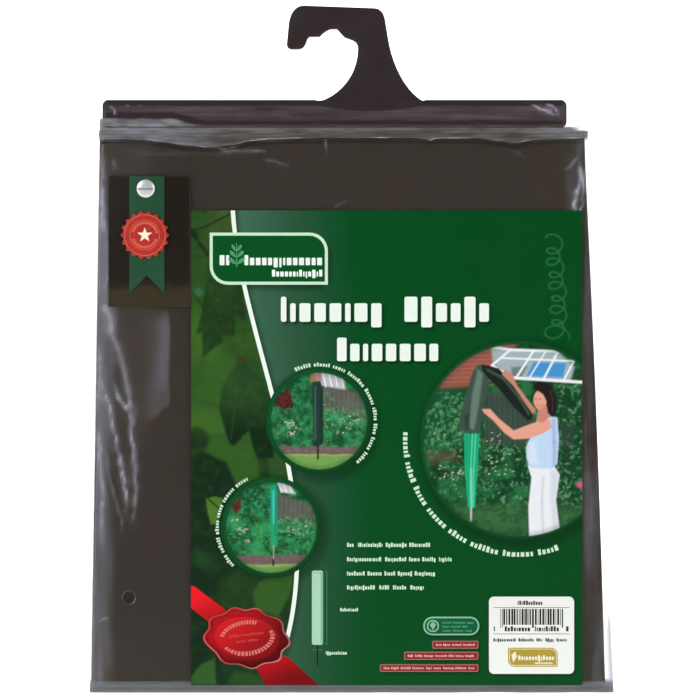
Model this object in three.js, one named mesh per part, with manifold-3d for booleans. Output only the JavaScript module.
// Retail hanging pack of a rotary dryer cover: a moulded hook hanger, a clear film bag hung from its bar,
// the folded cover inside the bag, and the labels stuck on the bag's front.
// Millimetres, +Z up, +X right, the front faces -Y. The origin is the seat in the hook that rests on a peg.

import * as THREE from "three";
import { mergeVertices } from "three/addons/utils/BufferGeometryUtils.js";
import Module from "manifold-3d";

const wasm = await Module();
wasm.setup();

// ---- Driving dimensions ----

const GAP = 0.3; // between pieces that lie beside each other
const STUCK_GAP = 0.1; // between flat layers that are stuck together

const HANGER_THICK = 3;
const SEAT_WIDTH = 3;
const BAR = { left: -114.7, right: 115.2, top: -35.5, bottom: -48.8, corner: 2.5 };
const RIM_HEIGHT = 2.2; // the bar's raised rims, above and below its thinner web
const WEB_THICK = 1.8;

const FILM = 0.4;
const SLEEVE = { left: -116.4, right: 124.5, clearance: 0.3 };
const NOTCH = { x: 18, halfWidth: 27, depth: 4.6 }; // the arc cut out of the sleeve round the hook

const HINGE_Z = -50.6;
const WELD = { top: -50.3, bottom: -52.5, halfThick: 0.3 };
const SIDE_WELD = { width: 1.6, halfThick: 0.4 };

const BAG_TOP = -52.9;
const BAG_BOTTOM = -329.1;
const CHANNEL_HEIGHT = 4.6; // the rounded fold along the bag's bottom
const BAG_HALF = 5.1; // half the filled bag's thickness
const BAG_LEFT = { top: -116.7, bottom: -121.4 };
const BAG_RIGHT = { top: 126, bottom: 139 };
const VENT = { x: -101.4, z: -281.2, radius: 3.2 };

const LEAF_COUNT = 6;
const LEAF_THICK = 1.1;
const LEAF_PITCH = 1.4;
const LEAF_TOP = -56.5; // of the middle leaves; the outer ones start lower
const LEAF_BOTTOM = -327.6; // of the middle leaves; the outer ones end higher
const FRONT_LEAF = { leftTop: -111.6, leftBottom: -116, right: 121.9 };
const SPLAY = { top: 0.4, bottom: 2.2 }; // how much further right each leaf behind reaches
const FOLD_HEIGHT = 1.1;

const HEM = { height: 26, thick: 0.5 };
const EYELET = { spacing: 36, bore: 2.4, barrel: 3, flange: 5, flangeThick: 0.3 };

const LABEL_THICK = 0.3;
const FRONT_LABEL = { left: -70.5, right: 122.4, top: -90.3, bottom: -323.4 };
const BARCODE = { left: 76.4, right: 118.4, top: -280.7, bottom: -318.8, corner: 2.5 };
const CARD = { left: -111.3, right: -70.8, top: -73, bottom: -137.8 };
const RIBBON = { left: -100.9, right: -83.6, top: -73.4, tip: -131.2, notch: -122.4 };
const SEAL = { x: -93.2, z: -102.5, radius: 11.2, scallop: 0.7, scallops: 18, thick: 0.7 };
const STUD = { x: -92.8, z: -79.5, radius: 4.6, height: 1.1 };

const BIG = 400; // half the side of the blocks that cut whole regions away

// ---- Solids ----

function solid(geometry) {
  const bare = geometry.clone();
  bare.deleteAttribute("normal");
  bare.deleteAttribute("uv");
  const merged = mergeVertices(bare, 1e-4);
  return new wasm.Manifold(
    new wasm.Mesh({
      numProp: 3,
      vertProperties: merged.attributes.position.array,
      triVerts: new Uint32Array(merged.index.array),
    }),
  );
}

function geometryOf(manifold) {
  const made = manifold.getMesh();
  const geometry = new THREE.BufferGeometry();
  geometry.setAttribute("position", new THREE.BufferAttribute(made.vertProperties, 3));
  geometry.setIndex(new THREE.BufferAttribute(made.triVerts, 1));
  geometry.computeVertexNormals();
  return geometry;
}

// A front outline (x, z) as a plate between two y values.
function plate(shape, yFront, yBack, curveSegments = 10) {
  const options = { depth: yBack - yFront, bevelEnabled: false, curveSegments };
  const geometry = new THREE.ExtrudeGeometry(shape, options);
  geometry.rotateX(Math.PI / 2);
  geometry.translate(0, yBack, 0);
  return solid(geometry);
}

// A side profile (y, z) drawn out along X.
function bar(shape, left, right, curveSegments = 10) {
  const options = { depth: right - left, bevelEnabled: false, curveSegments };
  const geometry = new THREE.ExtrudeGeometry(shape, options);
  const turn = new THREE.Matrix4().set(0, 0, 1, left, 1, 0, 0, 0, 0, 1, 0, 0, 0, 0, 0, 1);
  geometry.applyMatrix4(turn);
  return solid(geometry);
}

function block(xLow, xHigh, yLow, yHigh, zLow, zHigh) {
  const geometry = new THREE.BoxGeometry(xHigh - xLow, yHigh - yLow, zHigh - zLow);
  geometry.translate((xLow + xHigh) / 2, (yLow + yHigh) / 2, (zLow + zHigh) / 2);
  return solid(geometry);
}

// A disc or a ring turned about a line along Y: the profile gives (radius, y).
function turned(profile, x, z, segments) {
  const points = profile.map(([radius, y]) => new THREE.Vector2(radius, y));
  const geometry = new THREE.LatheGeometry(points, segments);
  geometry.translate(x, 0, z);
  return solid(geometry);
}

function disc(x, z, radius, yLow, yHigh, segments = 32) {
  const profile = [[0, yLow], [radius, yLow], [radius, yHigh], [0, yHigh]];
  return turned(profile, x, z, segments);
}

function outline(points) {
  return new THREE.Shape(points.map(([x, z]) => new THREE.Vector2(x, z)));
}

function roundedRectangle({ left, right, top, bottom, corner }) {
  const shape = new THREE.Shape();
  shape.moveTo(left + corner, bottom);
  shape.lineTo(right - corner, bottom);
  shape.absarc(right - corner, bottom + corner, corner, -Math.PI / 2, 0);
  shape.lineTo(right, top - corner);
  shape.absarc(right - corner, top - corner, corner, 0, Math.PI / 2);
  shape.lineTo(left + corner, top);
  shape.absarc(left + corner, top - corner, corner, Math.PI / 2, Math.PI);
  shape.lineTo(left, bottom + corner);
  shape.absarc(left + corner, bottom + corner, corner, Math.PI, Math.PI * 1.5);
  return shape;
}

// A closed skin through rings of points. Each ring is convex, level, and runs anticlockwise seen from above.
function loft(rings) {
  const count = rings[0].length;
  const positions = rings.flat(2);
  const indices = [];
  const last = (rings.length - 1) * count;
  for (let i = 1; i < count - 1; i++) {
    indices.push(0, i + 1, i);
    indices.push(last, last + i, last + i + 1);
  }
  for (let level = 0; level < rings.length - 1; level++) {
    for (let i = 0; i < count; i++) {
      const a = level * count + i;
      const b = level * count + ((i + 1) % count);
      indices.push(a, b, b + count, a, b + count, a + count);
    }
  }
  const geometry = new THREE.BufferGeometry();
  geometry.setAttribute("position", new THREE.Float32BufferAttribute(positions, 3));
  geometry.setIndex(indices);
  return solid(geometry);
}

// ---- Hanger ----

function hookShape() {
  const half = SEAT_WIDTH / 2;
  const shape = new THREE.Shape();
  shape.moveTo(half, 0);
  shape.lineTo(5.1, -4);
  shape.lineTo(8.9, -5.4);
  shape.quadraticCurveTo(11.9, -6.6, 11.9, -9.6);
  shape.bezierCurveTo(11.9, -22, 4, -32.5, -7.4, BAR.top - 0.6);
  shape.lineTo(44.5, BAR.top - 0.6);
  shape.bezierCurveTo(35, -31, 28.6, -17, 26.8, -5);
  shape.lineTo(25.4, 3.5);
  shape.quadraticCurveTo(24.5, 9.8, 20.2, 10.2);
  shape.lineTo(-15, 11.5);
  shape.quadraticCurveTo(-20.9, 11.2, -22.4, 3);
  shape.lineTo(-23.4, -7.6);
  shape.quadraticCurveTo(-23.2, -10, -20.6, -10);
  shape.lineTo(-17.6, -10);
  shape.quadraticCurveTo(-14.6, -9.7, -13.6, -6);
  shape.quadraticCurveTo(-13, -3.8, -11.4, -3.8);
  shape.lineTo(-7.2, -3.8);
  shape.quadraticCurveTo(-4, -0.5, -half, 0);
  return shape;
}

function makeHanger() {
  const half = HANGER_THICK / 2;
  const hook = plate(hookShape(), -half, half);
  const rail = plate(roundedRectangle(BAR), -half, half);
  const recess = {
    left: BAR.left + RIM_HEIGHT,
    right: BAR.right - RIM_HEIGHT,
    top: BAR.top - RIM_HEIGHT,
    bottom: BAR.bottom + RIM_HEIGHT,
    corner: 1.2,
  };
  const pocket = roundedRectangle(recess);
  const front = plate(pocket, -HANGER_THICK, -WEB_THICK / 2);
  const back = plate(pocket, WEB_THICK / 2, HANGER_THICK);
  return hook.add(rail).subtract(front).subtract(back);
}

// ---- Bag film ----

function between(z, ends) {
  const share = (BAG_TOP - z) / (BAG_TOP - BAG_BOTTOM);
  return ends.top + (ends.bottom - ends.top) * share;
}

function makeSleeve() {
  const inner = HANGER_THICK / 2 + SLEEVE.clearance;
  const loop = (y, top, bottom, corner) => roundedRectangle({ left: -y, right: y, top, bottom, corner });
  const high = BAR.top + SLEEVE.clearance;
  const low = BAR.bottom - SLEEVE.clearance;
  const film = 0.3;
  const outside = bar(loop(inner + film, high + film, low - film, 0.8), SLEEVE.left, SLEEVE.right, 5);
  const inside = bar(loop(inner, high, low, 0.5), SLEEVE.left - 1, SLEEVE.right + 1, 5);
  const arc = new THREE.Shape();
  arc.absellipse(NOTCH.x, high + film, NOTCH.halfWidth, NOTCH.depth, 0, Math.PI * 2);
  const cut = plate(arc, -BIG, BIG, 32);
  return outside.subtract(inside).subtract(cut);
}

// One level of the bag: flat front and back, closing to a narrow edge at each side.
function bagRing(z, half, inset) {
  const left = between(z, BAG_LEFT) + SIDE_WELD.width + GAP + inset;
  const right = between(z, BAG_RIGHT) - SIDE_WELD.width - GAP - inset;
  const edges = [[0, 0.22], [1, 0.7], [2.8, 1]];
  const front = edges.map(([x, share]) => [left + x, -half * share, z]);
  const frontRight = edges.map(([x, share]) => [right - x, -half * share, z]).reverse();
  const back = [...front, ...frontRight].reverse().map(([x, y]) => [x, -y, z]);
  return [...front, ...frontRight, ...back];
}

// Heights below the bag's top, with the share of the full thickness reached there.
const SWELL = [[0, 0.16], [1.6, 0.6], [3.4, 0.9], [6, 1]];

function bagShell() {
  const low = BAG_BOTTOM + CHANNEL_HEIGHT + GAP;
  const tops = SWELL.map(([drop, share]) => [BAG_TOP - drop, BAG_HALF * share]).reverse();
  const levels = [[low, BAG_HALF], ...tops];
  const outside = loft(levels.map(([z, half]) => bagRing(z, half, 0)));
  const inner = levels.map(([z, half]) => bagRing(z, Math.max(half - FILM, 0.2), 0.5));
  const below = inner[0].map(([x, y]) => [x, y, low - 1]);
  const above = inner[inner.length - 1].map(([x, y]) => [x, y, BAG_TOP + 1]);
  return outside.subtract(loft([below, ...inner, above]));
}

function makeFilms() {
  const shell = bagShell();
  const frontHalf = block(-BIG, BIG, -BIG, -GAP / 2, -BIG, BIG);
  const backHalf = block(-BIG, BIG, GAP / 2, BIG, -BIG, BIG);
  const vent = disc(VENT.x, VENT.z, VENT.radius, -BAG_HALF * 2, 0, 24);
  return {
    front: shell.intersect(frontHalf).subtract(vent),
    back: shell.intersect(backHalf),
  };
}

function makeHemWeld() {
  const right = BAG_RIGHT.top - GAP;
  return block(SLEEVE.left, right, -WELD.halfThick, WELD.halfThick, WELD.bottom, WELD.top);
}

function makeSideWeld(ends, inward) {
  const top = BAG_TOP;
  const bottom = BAG_BOTTOM + CHANNEL_HEIGHT + GAP;
  const outerTop = between(top, ends);
  const outerBottom = between(bottom, ends);
  const points = [
    [outerTop, top],
    [outerTop + inward * SIDE_WELD.width, top],
    [outerBottom + inward * SIDE_WELD.width, bottom],
    [outerBottom, bottom],
  ];
  return plate(outline(points), -SIDE_WELD.halfThick, SIDE_WELD.halfThick);
}

function makeBottomFold() {
  const high = BAG_BOTTOM + CHANNEL_HEIGHT;
  const shape = new THREE.Shape();
  shape.moveTo(-BAG_HALF, high);
  shape.absellipse(0, high, BAG_HALF, CHANNEL_HEIGHT, Math.PI, Math.PI * 2);
  shape.lineTo(BAG_HALF - FILM, high);
  shape.absellipse(0, high, BAG_HALF - FILM, CHANNEL_HEIGHT - FILM, 0, -Math.PI, true);
  return bar(shape, BAG_LEFT.bottom + 3, BAG_RIGHT.bottom - 3, 16);
}

// ---- Folded cover ----

// From 0 for the two middle leaves to 1 for the outer ones.
function outwardShare(index) {
  const middle = (LEAF_COUNT - 1) / 2;
  return (Math.abs(index - middle) - 0.5) / (middle - 0.5);
}

function leafPlace(index) {
  const yFront = (index - LEAF_COUNT / 2) * LEAF_PITCH + (LEAF_PITCH - LEAF_THICK) / 2;
  const share = outwardShare(index);
  return {
    yFront,
    yBack: yFront + LEAF_THICK,
    top: LEAF_TOP - 4 * share,
    bottom: LEAF_BOTTOM + 2.2 * share,
    leftTop: FRONT_LEAF.leftTop + SPLAY.top * index,
    leftBottom: FRONT_LEAF.leftBottom + SPLAY.bottom * index,
    rightTop: FRONT_LEAF.right - 4 + SPLAY.top * index,
    rightBottom: FRONT_LEAF.right + SPLAY.bottom * index,
  };
}

function leafPlate(index) {
  const leaf = leafPlace(index);
  const isHemLeaf = index === LEAF_COUNT - 1;
  const bottom = isHemLeaf ? leaf.bottom + HEM.height + GAP : leaf.bottom;
  const points = [
    [leaf.leftTop, leaf.top],
    [leaf.rightTop, leaf.top],
    [leaf.rightBottom, bottom],
    [leaf.leftBottom, bottom],
  ];
  return plate(outline(points), leaf.yFront, leaf.yBack);
}

// The bend that joins one leaf to the next: at the top after the first, third and fifth leaf, else at the bottom.
function foldStrip(index) {
  const near = leafPlace(index);
  const far = leafPlace(index + 1);
  const atTop = index % 2 === 0;
  const edge = atTop ? Math.min(near.top, far.top) : Math.max(near.bottom, far.bottom);
  const left = (atTop ? far.leftTop : far.leftBottom) + 0.5;
  const right = (atTop ? near.rightTop : near.rightBottom) - 0.5;
  const low = atTop ? edge - FOLD_HEIGHT : edge;
  const high = atTop ? edge : edge + FOLD_HEIGHT;
  return block(left, right, near.yFront + 0.2, far.yBack - 0.2, low, high);
}

function makeCover() {
  let cover = leafPlate(0);
  for (let index = 1; index < LEAF_COUNT; index++) {
    cover = cover.add(leafPlate(index)).add(foldStrip(index - 1));
  }
  return cover;
}

function hemPlace() {
  const leaf = leafPlace(LEAF_COUNT - 1);
  const yMiddle = (leaf.yFront + leaf.yBack) / 2;
  const middle = (leaf.leftBottom + leaf.rightBottom) / 2;
  return { ...leaf, yMiddle, middle, eyeletZ: leaf.bottom + HEM.height / 2 };
}

function makeHem() {
  const hem = hemPlace();
  const yFront = hem.yMiddle - HEM.thick / 2;
  const yBack = hem.yMiddle + HEM.thick / 2;
  const band = block(hem.leftBottom, hem.rightBottom, yFront, yBack, hem.bottom, hem.bottom + HEM.height);
  const bore = (side) => {
    const x = hem.middle + (side * EYELET.spacing) / 2;
    return disc(x, hem.eyeletZ, EYELET.barrel + GAP, yFront - 1, yBack + 1);
  };
  return band.subtract(bore(-1)).subtract(bore(1));
}

function makeEyelet(side) {
  const hem = hemPlace();
  const inner = HEM.thick / 2 + STUCK_GAP;
  const outer = inner + EYELET.flangeThick;
  const profile = [
    [EYELET.bore, -outer],
    [EYELET.flange - 0.4, -outer],
    [EYELET.flange, -inner],
    [EYELET.barrel, -inner],
    [EYELET.barrel, inner],
    [EYELET.flange, inner],
    [EYELET.flange - 0.4, outer],
    [EYELET.bore, outer],
    [EYELET.bore, -outer],
  ];
  const placed = profile.map(([radius, y]) => [radius, y + hem.yMiddle]);
  return turned(placed, hem.middle + (side * EYELET.spacing) / 2, hem.eyeletZ, 28);
}

// ---- Labels ----

// The nth layer stuck on the bag's front: its back face and front face.
function layer(level, thick) {
  const yBack = -BAG_HALF - STUCK_GAP - level * (LABEL_THICK + STUCK_GAP);
  return [yBack - thick, yBack];
}

function rectangle({ left, right, top, bottom }) {
  return outline([[left, bottom], [right, bottom], [right, top], [left, top]]);
}

function makeRibbon() {
  const middle = (RIBBON.left + RIBBON.right) / 2;
  const points = [
    [RIBBON.left, RIBBON.top],
    [RIBBON.left, RIBBON.tip],
    [middle, RIBBON.notch],
    [RIBBON.right, RIBBON.tip],
    [RIBBON.right, RIBBON.top],
  ];
  return plate(outline(points), ...layer(1, LABEL_THICK));
}

function makeSeal() {
  const points = [];
  const steps = SEAL.scallops * 6;
  for (let i = 0; i < steps; i++) {
    const angle = (i / steps) * Math.PI * 2;
    const radius = SEAL.radius + SEAL.scallop * Math.cos(angle * SEAL.scallops);
    points.push([SEAL.x + radius * Math.cos(angle), SEAL.z + radius * Math.sin(angle)]);
  }
  return plate(outline(points), ...layer(2, SEAL.thick));
}

function makeStud() {
  const [, yBack] = layer(2, 0);
  const profile = [[0, yBack], [STUD.radius, yBack]];
  const steps = 6;
  for (let i = 1; i <= steps; i++) {
    const angle = (i / steps) * (Math.PI / 2);
    profile.push([STUD.radius * Math.cos(angle), yBack - STUD.height * Math.sin(angle)]);
  }
  profile[profile.length - 1][0] = 0;
  return turned(profile.reverse(), STUD.x, STUD.z, 32);
}

// ---- The pack ----

function standard(color, roughness, metalness = 0) {
  return new THREE.MeshStandardMaterial({ color, roughness, metalness });
}

const plastic = standard(0x2e2322, 0.45);
const film = new THREE.MeshStandardMaterial({
  color: 0xdfe3e8,
  roughness: 0.12,
  transparent: true,
  opacity: 0.2,
});
const fabric = standard(0x3a342e, 0.6);
const greenPrint = standard(0x0c5228, 0.35);
const brownPrint = standard(0x2b221b, 0.4);
const ribbonGreen = standard(0x235238, 0.45);
const sealRed = standard(0xb3261e, 0.35);
const whitePrint = standard(0xf4f4f2, 0.4);
const nickel = standard(0xd5d6d8, 0.25, 1);

const films = makeFilms();
const pieces = [
  ["hanger", makeHanger(), plastic],
  ["bag_hem_sleeve", makeSleeve(), film],
  ["bag_hem_weld", makeHemWeld(), film],
  ["bag_front_film", films.front, film],
  ["bag_back_film", films.back, film],
  ["bag_left_weld", makeSideWeld(BAG_LEFT, 1), film],
  ["bag_right_weld", makeSideWeld(BAG_RIGHT, -1), film],
  ["bag_bottom_fold", makeBottomFold(), film],
  ["cover_sleeve", makeCover(), fabric],
  ["cover_hem", makeHem(), fabric],
  ["cover_eyelet_left", makeEyelet(-1), nickel],
  ["cover_eyelet_right", makeEyelet(1), nickel],
  ["front_label", plate(rectangle(FRONT_LABEL), ...layer(0, LABEL_THICK)), greenPrint],
  ["barcode_label", plate(roundedRectangle(BARCODE), ...layer(1, LABEL_THICK)), whitePrint],
  ["guarantee_card", plate(rectangle(CARD), ...layer(0, LABEL_THICK)), brownPrint],
  ["guarantee_ribbon", makeRibbon(), ribbonGreen],
  ["guarantee_seal", makeSeal(), sealRed],
  ["guarantee_stud", makeStud(), nickel],
];

const pack = new THREE.Group();
for (const [name, manifold, material] of pieces) {
  const mesh = new THREE.Mesh(geometryOf(manifold), material);
  mesh.name = name;
  pack.add(mesh);
}

export default pack;
